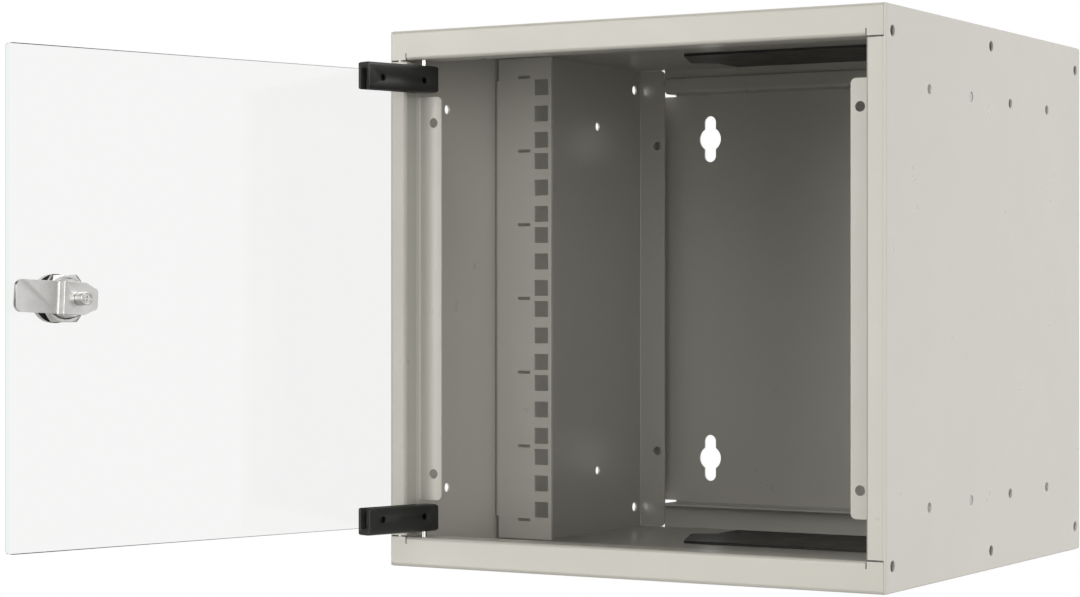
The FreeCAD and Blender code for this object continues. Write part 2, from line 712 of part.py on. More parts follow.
def make_cam_screw():
    """Pan head screw that holds the cam on the plug."""
    head = door_rod(LOCK_S, PLATE_N1, 0, CAM_HEAD_H, CAM_HEAD_DIA)
    top = GLASS_MID + PLATE_N1 + CAM_HEAD_H - TOTAL_DEPTH
    head = chamfer_where(head, CAM_HEAD_CHAMFER, lambda e: abs(e.CenterOfMass.y - top) < 0.01)
    shank = door_rod(LOCK_S, LOCK_REAR - 5.5, 0, PLATE_N1 - LOCK_REAR + 5.5, 4.0)
    return head.fuse(shank)


def tilt(shape):
    """Turns a piece of the cam group about the lock by the rest angle."""
    out = shape.copy()
    centre = V(PIVOT_X + LOCK_S, GLASS_MID - TOTAL_DEPTH, 0)
    out.rotate(centre, V(0, 1, 0), -CAM_TILT)
    return out


clamp = make_clamp()
liner = make_clamp_liner()
grubs = make_grubs()
pin = make_pin()
for side_name, turn in (("upper", lambda s: s), ("lower", mirror_z)):
    save(side_name + "_hinge_clamp", open_door(turn(clamp)))
    save(side_name + "_clamp_liner", open_door(turn(liner)))
    save(side_name + "_clamp_screws", open_door(turn(grubs)))
    save(side_name + "_hinge_pin", open_door(turn(pin)))

save("glass_pane", open_door(make_glass()))
save("lock_housing", open_door(make_lock_housing()))
outer_face = -(GLASS_T / 2.0)
save("lock_outer_washer", open_door(make_washer(outer_face - LOCK_WASHER_T, outer_face, LOCK_BEZEL_DIA)))
save("lock_inner_washer", open_door(make_washer(-outer_face, -outer_face + LOCK_WASHER_T, LOCK_SEAL_DIA)))
save("lock_nut", open_door(make_lock_nut()))
save("lock_plug", open_door(tilt(make_plug())))
save("lock_cam", open_door(tilt(make_cam())))
save("cam_screw", open_door(tilt(make_cam_screw())))
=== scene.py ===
import json
import math

import bmesh
import bpy
from bpy.props import FloatProperty, FloatVectorProperty, IntProperty, PointerProperty
from mathutils import Matrix, Vector


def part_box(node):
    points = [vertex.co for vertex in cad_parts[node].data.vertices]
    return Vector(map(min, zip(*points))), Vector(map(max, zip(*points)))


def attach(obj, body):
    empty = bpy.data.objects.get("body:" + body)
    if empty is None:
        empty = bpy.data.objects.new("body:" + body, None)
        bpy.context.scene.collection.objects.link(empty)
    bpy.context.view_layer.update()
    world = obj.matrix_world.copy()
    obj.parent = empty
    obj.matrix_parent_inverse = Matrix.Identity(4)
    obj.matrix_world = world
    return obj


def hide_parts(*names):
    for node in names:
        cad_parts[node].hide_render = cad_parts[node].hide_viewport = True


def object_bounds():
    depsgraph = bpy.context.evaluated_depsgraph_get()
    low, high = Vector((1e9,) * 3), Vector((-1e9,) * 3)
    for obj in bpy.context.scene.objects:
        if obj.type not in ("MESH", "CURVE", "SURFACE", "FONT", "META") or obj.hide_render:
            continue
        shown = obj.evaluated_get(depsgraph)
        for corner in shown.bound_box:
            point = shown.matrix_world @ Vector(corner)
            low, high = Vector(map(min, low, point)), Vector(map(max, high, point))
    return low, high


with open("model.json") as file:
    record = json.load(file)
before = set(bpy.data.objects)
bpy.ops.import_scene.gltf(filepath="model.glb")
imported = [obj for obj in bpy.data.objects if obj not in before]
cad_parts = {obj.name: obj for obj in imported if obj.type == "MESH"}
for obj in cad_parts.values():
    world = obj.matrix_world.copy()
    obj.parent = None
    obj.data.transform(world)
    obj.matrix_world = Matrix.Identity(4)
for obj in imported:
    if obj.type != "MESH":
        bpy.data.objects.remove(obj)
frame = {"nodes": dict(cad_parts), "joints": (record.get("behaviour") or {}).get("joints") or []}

bl_info = {
    "name": "Wall Mount Network Cabinet",
    "version": (1, 0, 0),
    "blender": (4, 5, 0),
    "location": "View3D > Sidebar > Cabinet",
    "description": "Finishes a wall cabinet: coated sheet steel, clear glass door, cam lock and a studio stage",
    "category": "Object",
}

MM = 0.001
QUARTER = math.radians(90.0)
NODES = frame["nodes"]
CAD_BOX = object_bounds()
JOINTS = {joint["name"]: joint for joint in frame["joints"]}

# Radii that several pieces share
BODY_RADIUS = 10.0 * MM
SPIGOT_RADIUS = 3.5 * MM
GRUB_HOLE_RADIUS = 2.0 * MM
# Points nearer than this are one point
SAME_POINT = 1e-7

# Soft lights: azimuth from the front towards +X, height, half width (degrees), strength, tint
WARM = (1.0, 0.985, 0.93)
PLAIN = (1.0, 1.0, 0.99)
SOFT_LIGHTS = [
    (-45.0, 5.0, 15.0, 2.1, WARM),
    (-30.0, 5.0, 15.0, 3.1, WARM),
    (15.0, 5.0, 15.0, 1.5, PLAIN),
    (45.0, 5.0, 15.0, 2.9, PLAIN),
    (0.0, 35.0, 19.0, 1.75, PLAIN),
    (90.0, 42.0, 20.0, 3.2, WARM),
    (66.0, 2.0, 6.0, 4.6, PLAIN),
    (66.0, 12.0, 6.0, 4.6, PLAIN),
]


# ---------------------------------------------------------------- places on the door
def door_frame():
    """Axes of the door: X runs from the hinge to the free edge, Y inwards, Z up."""
    hinge = JOINTS["door_hinge"]
    turn = -math.radians(hinge["range_deg"][1])
    return Matrix.Translation(hinge["pos_m"]) @ Matrix.Rotation(turn, 4, "Z")


def points_in(node, place):
    """A node's vertices as seen from a place."""
    back = place.inverted()
    return [back @ vertex.co for vertex in NODES[node].data.vertices]


def box_in(node, place):
    """Lowest and highest corner of a node along the axes of a place."""
    points = points_in(node, place)
    low = Vector([min(p[i] for p in points) for i in range(3)])
    high = Vector([max(p[i] for p in points) for i in range(3)])
    return low, high


DOOR = door_frame()
INWARDS = Matrix.Rotation(-QUARTER, 4, "X")
PANE_LOW, PANE_HIGH = box_in("glass_pane", DOOR)
NUT_LOW, NUT_HIGH = box_in("lock_nut", DOOR)
LOCK_CENTRE = (NUT_LOW + NUT_HIGH) / 2.0
PANE_MIDDLE = (PANE_LOW.y + PANE_HIGH.y) / 2.0
PANE = DOOR @ Matrix.Translation((0.0, PANE_MIDDLE, 0.0)) @ INWARDS
LOCK = PANE @ Matrix.Translation((LOCK_CENTRE.x, 0.0, 0.0))
KEY_TILT = math.radians(-3.0)
KEY = LOCK @ Matrix.Rotation(KEY_TILT, 4, "Z")
UPRIGHT = Matrix.Rotation(QUARTER, 4, "X")
ALONG = Matrix(((0, 0, 1, 0), (1, 0, 0, 0), (0, 1, 0, 0), (0, 0, 0, 1)))
ENDS = {"upper": Matrix.Diagonal((1.0, -1.0, 1.0, 1.0)), "lower": Matrix.Identity(4)}


# ---------------------------------------------------------------- mesh helpers
def add_object(name, mesh):
    """Puts a mesh into the scene."""
    piece = bpy.data.objects.new(name, mesh)
    bpy.context.scene.collection.objects.link(piece)
    return piece


def discard(piece):
    """Takes a used up piece and its mesh out of the scene."""
    mesh = piece.data
    bpy.data.objects.remove(piece)
    bpy.data.meshes.remove(mesh)


def mesh_object(name, vertices, faces, place=Matrix.Identity(4)):
    """A mesh object whose vertices are given along the axes of a place."""
    mesh = bpy.data.meshes.new(name)
    mesh.from_pydata([place @ Vector(v) for v in vertices], [], faces)
    mesh.update()
    tidy_mesh(mesh)
    return add_object(name, mesh)


def tidy_mesh(mesh, on_axis=False):
    """Merges doubled points or, for a turned piece, drops faces without area. Then turns the faces outwards."""
    edit = bmesh.new()
    edit.from_mesh(mesh)
    if on_axis:
        bmesh.ops.dissolve_degenerate(edit, dist=SAME_POINT, edges=edit.edges)
    else:
        bmesh.ops.remove_doubles(edit, verts=edit.verts, dist=SAME_POINT)
    bmesh.ops.recalc_face_normals(edit, faces=edit.faces)
    edit.to_mesh(mesh)
    edit.free()


def extruded(name, outline, low, high, place):
    """A closed outline carried from one height to another along local Z."""
    count = len(outline)
    vertices = [(x, y, low) for x, y in outline] + [(x, y, high) for x, y in outline]
    faces = [tuple(range(count)), tuple(range(2 * count - 1, count - 1, -1))]
    faces += [(i, (i + 1) % count, count + (i + 1) % count, count + i) for i in range(count)]
    return mesh_object(name, vertices, faces, place)


def lathed(name, profile, place, steps=64, wave=None):
    """A closed profile of (radius, height) points turned about local Z."""
    vertices = []
    for step in range(steps):
        angle = math.tau * step / steps
        for r, h in profile:
            out = wave(angle, r, h) if wave else r
            vertices.append((out * math.cos(angle), out * math.sin(angle), h))
    count = len(profile)
    faces = []
    for step in range(steps):
        here, there = step * count, (step + 1) % steps * count
        for i in range(count):
            j = (i + 1) % count
            faces.append((here + i, here + j, there + j, there + i))
    piece = mesh_object(name, vertices, faces, place)
    tidy_mesh(piece.data, on_axis=True)
    return piece


def rounded_rectangle(x0, x1, y0, y1, radii, steps=8):
    """Outline with its own corner radius for each of the four corners."""
    corners = [
        (x1, y0, -90.0, radii[0]),
        (x1, y1, 0.0, radii[1]),
        (x0, y1, 90.0, radii[2]),
        (x0, y0, 180.0, radii[3]),
    ]
    outline = []
    for x, y, start, r in corners:
        cx = x - r if x == x1 else x + r
        cy = y - r if y == y1 else y + r
        for step in range(steps + 1):
            angle = math.radians(start + 90.0 * step / steps)
            outline.append((cx + r * math.cos(angle), cy + r * math.sin(angle)))
    return outline


def circle(radius, steps=48, centre=(0.0, 0.0)):
    """Points of a circle."""
    points = []
    for step in range(steps):
        angle = math.tau * step / steps
        points.append((centre[0] + radius * math.cos(angle), centre[1] + radius * math.sin(angle)))
    return points


def polygon(sides, across):
    """A regular polygon of a width across its flats."""
    return circle(across / 2.0 / math.cos(math.pi / sides), sides)


def block(name, low, high, place, radius=0.0):
    """A block between its lowest and highest corner, with upright edges that may be rounded."""
    (x0, y0, z0), (x1, y1, z1) = low, high
    outline = [(x0, y0), (x1, y0), (x1, y1), (x0, y1)]
    if radius > 0.0:
        outline = rounded_rectangle(x0, x1, y0, y1, [radius] * 4)
    return extruded(name, outline, z0, z1, place)


def cross(name, across, wide, low, high, place):
    """A cross for driving recesses."""
    a, w = across / 2.0, wide / 2.0
    outline = [(a, -w), (a, w), (w, w), (w, a), (-w, a), (-w, w)]
    outline += [(-a, w), (-a, -w), (-w, -w), (-w, -a), (w, -a), (w, -w)]
    return extruded(name, outline, low, high, place)


def arc(cx, cy, radius, start, end, steps=6):
    """Points of an arc, both ends included, angles in degrees."""
    points = []
    for step in range(steps + 1):
        angle = math.radians(start + (end - start) * step / steps)
        points.append((cx + radius * math.cos(angle), cy + radius * math.sin(angle)))
    return points


def gather(name, parts):
    """Puts several pieces together in one object."""
    edit = bmesh.new()
    for part in parts:
        edit.from_mesh(part.data)
        discard(part)
    mesh = bpy.data.meshes.new(name)
    edit.to_mesh(mesh)
    edit.free()
    return add_object(name, mesh)


def soften(piece, width, segments=3, angle=30.0):
    """Rounds the sharp edges of a piece."""
    bevel = piece.modifiers.new("soft edges", "BEVEL")
    bevel.width = width
    bevel.segments = segments
    bevel.limit_method = "ANGLE"
    bevel.angle_limit = math.radians(angle)
    bevel.use_clamp_overlap = True
    bevel.harden_normals = False
    settle(piece)


def combine(piece, other, operation):
    """Cuts, joins or intersects a piece with another one, which is used up."""
    step = piece.modifiers.new("combine", "BOOLEAN")
    step.operation = operation
    step.solver = "EXACT"
    step.object = other
    settle(piece)
    discard(other)


def settle(piece):
    """Applies the piece's modifiers to its mesh."""
    shape = piece.evaluated_get(bpy.context.evaluated_depsgraph_get())
    mesh = bpy.data.meshes.new_from_object(shape)
    if not mesh.polygons:
        raise RuntimeError(piece.name + " came out empty")
    old = piece.data
    piece.modifiers.clear()
    piece.data = mesh
    bpy.data.meshes.remove(old)


def smooth(piece, angle=35.0):
    """Shades a piece smooth except across its sharp edges."""
    piece.data.polygons.foreach_set("use_smooth", [True] * len(piece.data.polygons))
    piece.data.set_sharp_from_angle(angle=math.radians(angle))


def place_piece(piece, body, material, nodes=(), angle=35.0):
    """Finishes a piece, rides it on its body and lets it stand for CAD nodes."""
    smooth(piece, angle)
    piece.data.materials.clear()
    piece.data.materials.append(material)
    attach(piece, body)
    if nodes:
        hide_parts(*nodes)
    return piece


def coat_node(node, material):
    """Gives a carried-over CAD node its material."""
    mesh = NODES[node].data
    mesh.materials.clear()
    mesh.materials.append(material)


# ---------------------------------------------------------------- material helpers
def set_range(node, start, end, low, high):
    """Fills in what a map range node maps from and to."""
    for name, number in (("From Min", start), ("From Max", end), ("To Min", low), ("To Max", high)):
        node.inputs[name].default_value = number
    return node.outputs["Result"]


class Finish:
    """A node material under construction."""

    def __init__(self, name):
        self.material = bpy.data.materials.new(name)
        self.material.use_nodes = True
        self.tree = self.material.node_tree
        self.tree.nodes.clear()
        self.metres = self.add("TexCoord").outputs["Object"]

    def add(self, kind, settings=(), **inputs):
        """Adds a shader node, sets its options and fills or links its inputs."""
        node = self.tree.nodes.new("ShaderNode" + kind)
        for key, value in dict(settings).items():
            setattr(node, key, value)
        for key, value in inputs.items():
            self.feed(node.inputs[key.replace("_", " ")], value)
        return node

    def feed(self, socket, value):
        """Links a socket to another one, or sets its value."""
        if isinstance(value, bpy.types.NodeSocket):
            self.tree.links.new(value, socket)
        else:
            socket.default_value = value

    def noise(self, pitch, detail=2.0, rough=0.5, stretch=None):
        """Noise whose features are about as large as the pitch in metres."""
        where = self.metres
        if stretch:
            where = self.add("Mapping", Vector=self.metres, Scale=stretch).outputs["Vector"]
        node = self.add("TexNoise", Vector=where, Scale=1.0 / pitch, Detail=detail, Roughness=rough)
        return node.outputs["Fac"]

    def spread(self, value, low, high, start=0.3, end=0.7):
        """Maps a noise value to a range."""
        return set_range(self.add("MapRange", Value=value), start, end, low, high)

    def blend(self, amount, first, second):
        """Mixes two colours."""
        node = self.add("Mix", {"data_type": "RGBA"})
        self.feed(node.inputs[0], amount)
        self.feed(node.inputs[6], first)
        self.feed(node.inputs[7], second)
        return node.outputs[2]

    def maths(self, operation, first, second=0.0):
        """One arithmetic step."""
        node = self.add("Math", {"operation": operation})
        self.feed(node.inputs[0], first)
        self.feed(node.inputs[1], second)
        return node.outputs[0]

    def rounded_normal(self, radius):
        """A normal that rounds the edges of the piece."""
        return self.add("Bevel", {"samples": 4}, Radius=radius).outputs["Normal"]

    def bump(self, height, depth, normal=None):
        """A bump whose full height is a depth in metres."""
        node = self.add("Bump", Height=height, Distance=depth, Strength=1.0)
        if normal:
            self.feed(node.inputs["Normal"], normal)
        return node.outputs["Normal"]

    def edge_mask(self, normal):
        """Near 1 where the rounded normal leaves the face's own normal."""
        own = self.add("NewGeometry").outputs["Normal"]
        dot = self.add("VectorMath", {"operation": "DOT_PRODUCT"})
        self.feed(dot.inputs[0], own)
        self.feed(dot.inputs[1], normal)
        return self.spread(dot.outputs["Value"], 1.0, 0.0, 0.8, 1.0)

    def surface(self, **inputs):
        """The principled surface that the material shows."""
        shader = self.add("BsdfPrincipled", **inputs)
        out = self.add("OutputMaterial")
        self.tree.links.new(shader.outputs["BSDF"], out.inputs["Surface"])
        return self.material


def rgba(colour, gain=1.0):
    """A colour with full alpha, scaled in brightness."""
    return tuple(min(1.0, channel * gain) for channel in colour[:3]) + (1.0,)


def powder_coat(name, paint):
    """Semi-gloss powder coat: orange peel, faint cloudiness, and edges painted lighter, partly as rubbed wear and
    partly as a painted highlight.
    """
    f = Finish(name)
    cloud = f.noise(90 * MM, 3.0)
    smear = f.noise(26 * MM, 6.0, 0.6)
    speck = f.noise(0.9 * MM, 1.0)
    body = f.blend(f.spread(cloud, 0.0, 1.0), rgba(paint.colour, 0.985), rgba(paint.colour, 1.015))
    body = f.blend(f.spread(speck, 0.0, 0.2, 0.6, 0.75), body, rgba(paint.colour, 0.95))
    edge = f.rounded_normal(paint.edge_radius)
    # Edges painted lighter: partly rubbed wear, partly a painted highlight for the light caught on the bends.
    edge_wear_and_painted_highlight = f.maths("MULTIPLY", f.edge_mask(edge), f.spread(smear, 0.1, 0.35))
    colour = f.blend(edge_wear_and_painted_highlight, body, rgba(paint.colour, 1.1))
    peel = f.maths("ADD", f.noise(paint.peel_pitch, 1.5), f.maths("MULTIPLY", speck, 0.25))
    rough = f.spread(smear, paint.roughness - 0.03, paint.roughness + 0.04)
    return f.surface(
        Base_Color=colour,
        Roughness=rough,
        Normal=f.bump(peel, paint.peel_depth, edge),
        IOR=1.6,
        Coat_Weight=0.15,
        Coat_Roughness=0.22,
    )


def moulded_plastic(name, colour, roughness, grain):
    """Black moulded plastic with a fine spark-eroded grain, handling marks and a painted highlight along its
    edges.
    """
    f = Finish(name)
    grains = f.noise(grain, 3.0, 0.6)
    marks = f.noise(18 * MM, 5.0, 0.65)
    edge = f.rounded_normal(0.3 * MM)
    marks_and_edge_highlight = f.blend(f.spread(marks, 0.0, 1.0), rgba(colour, 0.85), rgba(colour, 1.2))
    # Edges painted lighter: a painted highlight along the rounded edges.
    marks_and_edge_highlight = f.blend(f.maths("MULTIPLY", f.edge_mask(edge), 0.5), marks_and_edge_highlight, rgba(colour, 1.9))
    return f.surface(
        Base_Color=marks_and_edge_highlight,
        Roughness=f.spread(marks, roughness - 0.06, roughness + 0.08),
        Normal=f.bump(grains, 0.02 * MM, edge),
    )


def soft_rubber(name, colour):
    """Matt rubber with a dusty bloom."""
    f = Finish(name)
    bloom = f.noise(7 * MM, 5.0, 0.6)
    return f.surface(
        Base_Color=f.blend(f.spread(bloom, 0.0, 1.0), rgba(colour, 0.8), rgba(colour, 1.7)),
        Roughness=f.spread(bloom, 0.7, 0.88),
        Normal=f.bump(f.noise(0.5 * MM, 2.0), 0.015 * MM),
    )


def plated_metal(name, colour, roughness, brushed=(1.0, 1.0, 14.0)):
    """Plated metal with fine scratches, faint tarnish and softened edges."""
    f = Finish(name)
    tarnish = f.noise(5 * MM, 4.0, 0.6)
    scratch = f.noise(0.35 * MM, 3.0, 0.7, brushed)
    edge = f.rounded_normal(0.2 * MM)
    tint = f.blend(f.spread(tarnish, 0.0, 1.0), rgba(colour, 0.94), rgba(colour, 1.05))
    return f.surface(
        Base_Color=tint,
        Metallic=1.0,
        Roughness=f.spread(scratch, roughness - 0.05, roughness + 0.07),
        Normal=f.bump(scratch, 0.002 * MM, edge),
    )


def clear_glass(name, tint, gloss, bend):
    """Clear thin glass: lets light straight through and mirrors more of it at a flat angle."""
    f = Finish(name)
    smear = f.noise(30 * MM, 6.0, 0.7)
    wave = f.bump(f.noise(60 * MM, 1.0), 0.004 * MM)
    through = f.add("BsdfTransparent", Color=rgba(tint))
    mirror = f.add("BsdfPrincipled", Base_Color=rgba((gloss, gloss, gloss)), Metallic=1.0, Normal=wave)
    f.feed(mirror.inputs["Roughness"], f.spread(smear, 0.01, 0.06, 0.55, 0.8))
    share = f.add("Fresnel", IOR=bend, Normal=wave)
    mixed = f.add("MixShader", Fac=share.outputs["Fac"])
    f.feed(mixed.inputs[1], through.outputs["BSDF"])
    f.feed(mixed.inputs[2], mirror.outputs["BSDF"])
    out = f.add("OutputMaterial")
    f.tree.links.new(mixed.outputs["Shader"], out.inputs["Surface"])
    return f.material


def stage_floor(name, colour):
    """Plain pale studio floor."""
    f = Finish(name)
    mottle = f.noise(400 * MM, 3.0)
    return f.surface(
        Base_Color=f.blend(f.spread(mottle, 0.0, 1.0), rgba(colour, 0.99), rgba(colour, 1.0)),
        Roughness=f.spread(mottle, 0.75, 0.85),
    )


# ---------------------------------------------------------------- settings
class CabinetPaint(bpy.types.PropertyGroup):
    """Powder coat of the shell, the rails and the back panel."""

    colour: FloatVectorProperty(
        name="Coat colour", description="Colour of the powder coat",
        subtype="COLOR", size=3, min=0.0, max=1.0, default=(0.46, 0.447, 0.405))
    roughness: FloatProperty(
        name="Coat roughness", description="Mean roughness of the powder coat",
        subtype="FACTOR", min=0.05, max=1.0, default=0.30)
    peel_pitch: FloatProperty(
        name="Orange peel pitch", description="Size of the coat's orange peel",
        unit="LENGTH", min=0.0001, default=1.6 * MM)
    peel_depth: FloatProperty(
        name="Orange peel depth", description="Height of the coat's orange peel",
        unit="LENGTH", min=0.0, default=0.008 * MM)
    edge_radius: FloatProperty(
        name="Edge radius", description="Radius that the coat leaves on cut edges",
        unit="LENGTH", min=0.0, default=0.35 * MM)


class CabinetBlacks(bpy.types.PropertyGroup):
    """Black plastic and rubber pieces."""

    cover_colour: FloatVectorProperty(
        name="Cover colour", description="Colour of the cable entry covers",
        subtype="COLOR", size=3, min=0.0, max=1.0, default=(0.012, 0.012, 0.013))
    clamp_colour: FloatVectorProperty(
        name="Clamp colour", description="Colour of the hinge clamps",
        subtype="COLOR", size=3, min=0.0, max=1.0, default=(0.014, 0.014, 0.014))
    rubber_colour: FloatVectorProperty(
        name="Rubber colour", description="Colour of the liners and washers",
        subtype="COLOR", size=3, min=0.0, max=1.0, default=(0.01, 0.01, 0.01))
    grub_colour: FloatVectorProperty(
        name="Grub screw colour", description="Colour of the clamps' grub screws",
        subtype="COLOR", size=3, min=0.0, max=1.0, default=(0.03, 0.03, 0.03))
    clamp_corner: FloatProperty(
        name="Clamp corner radius", description="Radius of the clamp's face corners beside the hinge pin",
        unit="LENGTH", min=0.0, default=2.4 * MM)
    clamp_soft: FloatProperty(
        name="Clamp edge radius", description="Radius along the clamp's long edges",
        unit="LENGTH", min=0.0, default=2.0 * MM)
    clamp_heel: FloatProperty(
        name="Clamp heel radius", description="Radius of the clamp's outer edge beside the hinge pin",
        unit="LENGTH", min=0.0, default=4.8 * MM)


class CabinetGlass(bpy.types.PropertyGroup):
    """Glass door."""

    tint: FloatVectorProperty(
        name="Glass tint", description="Colour that the clear glass lets through",
        subtype="COLOR", size=3, min=0.0, max=1.0, default=(0.956, 0.956, 0.954))
    edge_tint: FloatVectorProperty(
        name="Edge tint", description="Colour of the polished edge",
        subtype="COLOR", size=3, min=0.0, max=1.0, default=(0.93, 0.965, 0.955))
    hole_diameter: FloatProperty(
        name="Lock hole", description="Diameter of the hole for the lock",
        unit="LENGTH", min=0.0, default=20.5 * MM)
    corner_radius: FloatProperty(
        name="Corner radius", description="Radius of the pane's corners",
        unit="LENGTH", min=0.0, default=2.0 * MM)
    arris: FloatProperty(
        name="Arris", description="Width of the arris along the edges",
        unit="LENGTH", min=0.0, default=0.45 * MM)


class CabinetLock(bpy.types.PropertyGroup):
    """Cam lock."""

    chrome: FloatVectorProperty(
        name="Chrome colour", description="Colour of the plated lock pieces",
        subtype="COLOR", size=3, min=0.0, max=1.0, default=(0.66, 0.655, 0.645))
    zinc: FloatVectorProperty(
        name="Zinc colour", description="Colour of the plated screws",
        subtype="COLOR", size=3, min=0.0, max=1.0, default=(0.50, 0.50, 0.48))
    pin_steel: FloatVectorProperty(
        name="Pin colour", description="Colour of the hinge pins",
        subtype="COLOR", size=3, min=0.0, max=1.0, default=(0.55, 0.55, 0.54))
    cam_corner: FloatProperty(
        name="Tongue corner radius", description="Radius of the tongue's two corners",
        unit="LENGTH", min=0.0, default=3.8 * MM)
    cam_tail: FloatProperty(
        name="Cam tail", description="Half width of the cam's short end",
        unit="LENGTH", min=0.0, default=5.7 * MM)
    cam_taper: FloatProperty(
        name="Cam taper", description="Distance from the lock's axis to the start of the cam's taper",
        unit="LENGTH", min=0.0, default=3.0 * MM)
    cam_gauge: FloatProperty(
        name="Cam gauge", description="Thickness of the cam",
        unit="LENGTH", min=0.0, default=2.2 * MM)
    thread_pitch: FloatProperty(
        name="Thread pitch", description="Pitch of the thread on the lock body",
        unit="LENGTH", min=0.0002, default=1.5 * MM)
    thread_depth: FloatProperty(
        name="Thread depth", description="Depth of the thread on the lock body",
        unit="LENGTH", min=0.0, default=0.75 * MM)
    socket: FloatProperty(
        name="Screw socket", description="Width of the recess in the cam screw's head",
        unit="LENGTH", min=0.0, default=2.6 * MM)
    facets: IntProperty(
        name="Round steps", description="Steps round the turned pieces",
        min=24, max=160, default=72)


class CabinetStage(bpy.types.PropertyGroup):
    """Floor, light and camera."""

    floor_drop: FloatProperty(
        name="Floor drop", description="Distance from the cabinet's underside to the floor",
        unit="LENGTH", min=0.0, default=0.55)
    floor_colour: FloatVectorProperty(
        name="Floor colour", description="Colour of the studio floor",
        subtype="COLOR", size=3, min=0.0, max=1.0, default=(0.55, 0.55, 0.55))
    floor_radius: FloatProperty(
        name="Floor radius", description="Radius of the studio floor",
        unit="LENGTH", min=0.5, default=3.0)
    surround: FloatProperty(
        name="Surround", description="Brightness of the white surround behind the cabinet",
        min=0.0, default=1.0)
    soft_lights: FloatProperty(
        name="Soft lights", description="Brightness of the soft lights in front and at the sides",
        min=0.0, default=1.0)
    azimuth: FloatProperty(
        name="Camera azimuth", description="Turn of the camera round the cabinet",
        subtype="ANGLE", default=math.radians(30.35))
    lens: FloatProperty(
        name="Lens", description="Focal length in millimetres on a 36 mm sensor",
        min=1.0, default=89.5)
    eye: FloatVectorProperty(
        name="Camera position", description="Where the camera stands",
        subtype="TRANSLATION", size=3, default=(0.696, -1.5937, 0.0))


SETTINGS = {
    "cabinet_paint": CabinetPaint,
    "cabinet_blacks": CabinetBlacks,
    "cabinet_glass": CabinetGlass,
    "cabinet_lock": CabinetLock,
    "cabinet_stage": CabinetStage,
}


# ---------------------------------------------------------------- the shell and its fittings
class CABINET_OT_coat_steel(bpy.types.Operator):
    """Powder coats the side, top, bottom and back panels and the rack rails"""

    bl_idname = "cabinet.coat_steel"
    bl_label = "Coat steel"

    def execute(self, context):
        coat = powder_coat("powder coat, light grey", context.scene.cabinet_paint)
        for side in ("left", "right"):
            coat_node(side + "_side_panel", coat)
            coat_node(side + "_rack_rail", coat)
        for node in ("top_panel", "bottom_panel", "back_panel"):
            coat_node(node, coat)
        return {"FINISHED"}


class CABINET_OT_fit_cable_covers(bpy.types.Operator):
    """Finishes the two moulded cable entry covers"""

    bl_idname = "cabinet.fit_cable_covers"
    bl_label = "Fit cable covers"

    def execute(self, context):
        colour = context.scene.cabinet_blacks.cover_colour
        black = moulded_plastic("moulded black plastic", colour, roughness=0.45, grain=0.5 * MM)
        for end in ("top", "bottom"):
            coat_node(end + "_cable_cover", black)
        return {"FINISHED"}


class CABINET_OT_drive_rail_screws(bpy.types.Operator):
    """Drives the pan head screws that hold the rack rails"""

    bl_idname = "cabinet.drive_rail_screws"
    bl_label = "Drive rail screws"

    def execute(self, context):
        steel = plated_metal("zinc plated steel", context.scene.cabinet_lock.zinc, roughness=0.32)
        for side, inwards in (("left", 1.0), ("right", -1.0)):
            node = side + "_rail_screws"
            low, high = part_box(node)
            across = (high.y - low.y) / 2.0
            length = high.x - low.x
            screws = []
            for height in (low.z + across, high.z - across):
                base = low.x if inwards > 0 else high.x
                place = Matrix.Translation((base, low.y + across, height))
                place = place @ Matrix.Rotation(QUARTER * inwards, 4, "Y")
                screws.append(self.screw(side, place, across, length))
            place_piece(gather(side + "_rail_pan_screws", screws), "cabinet", steel, [node])
        return {"FINISHED"}

    def screw(self, side, place, radius, length):
        """A pan head with a cross recess on a plain shank."""
        shank, tip, head = 2.7 * MM, 0.3 * MM, 2.6 * MM
        seat = length - head
        # Dome of the head in millimetres: how far in from the rim, how far above the seat
        dome = [(0.0, 0.0), (0.0, 0.5), (0.25, 1.1), (0.8, 1.7), (1.7, 2.25), (2.8, 2.56)]
        profile = [(0.0, 0.0), (shank - tip, 0.0), (shank, tip), (shank, seat)]
        profile += [(radius - inset * MM, seat + rise * MM) for inset, rise in dome] + [(0.0, length)]
        body = lathed(side + "_screw", profile, place, 40)
        recess = cross("recess", 4.2 * MM, 0.9 * MM, length - 1.5 * MM, length + MM, place)
        combine(body, recess, "DIFFERENCE")
        return body


# ---------------------------------------------------------------- the glass door
class CABINET_OT_hang_glass(bpy.types.Operator):
    """Cuts the glass pane with its polished edges and its lock hole"""

    bl_idname = "cabinet.hang_glass"
    bl_label = "Hang glass"

    def execute(self, context):
        glass = context.scene.cabinet_glass
        half = (PANE_HIGH.y - PANE_LOW.y) / 2.0
        corners = [glass.corner_radius] * 4
        outline = rounded_rectangle(PANE_LOW.x, PANE_HIGH.x, -PANE_HIGH.z, -PANE_LOW.z, corners)
        pane = extruded("door_glass", outline, -half, half, PANE)
        hole = extruded("lock hole", circle(glass.hole_diameter / 2.0, 64), -2 * half, 2 * half, LOCK)
        combine(pane, hole, "DIFFERENCE")
        soften(pane, glass.arris, 1)
        clear = clear_glass("clear glass", glass.tint, gloss=1.0, bend=1.25)
        place_piece(pane, "door", clear, ["glass_pane"], angle=20.0)
        pane.data.materials.append(clear_glass("polished glass edge", glass.edge_tint, gloss=0.5, bend=1.2))
        inwards = (PANE.to_3x3() @ Vector((0.0, 0.0, 1.0))).normalized()
        for face in pane.data.polygons:
            face.material_index = 0 if abs(face.normal.dot(inwards)) > 0.99 else 1
        return {"FINISHED"}


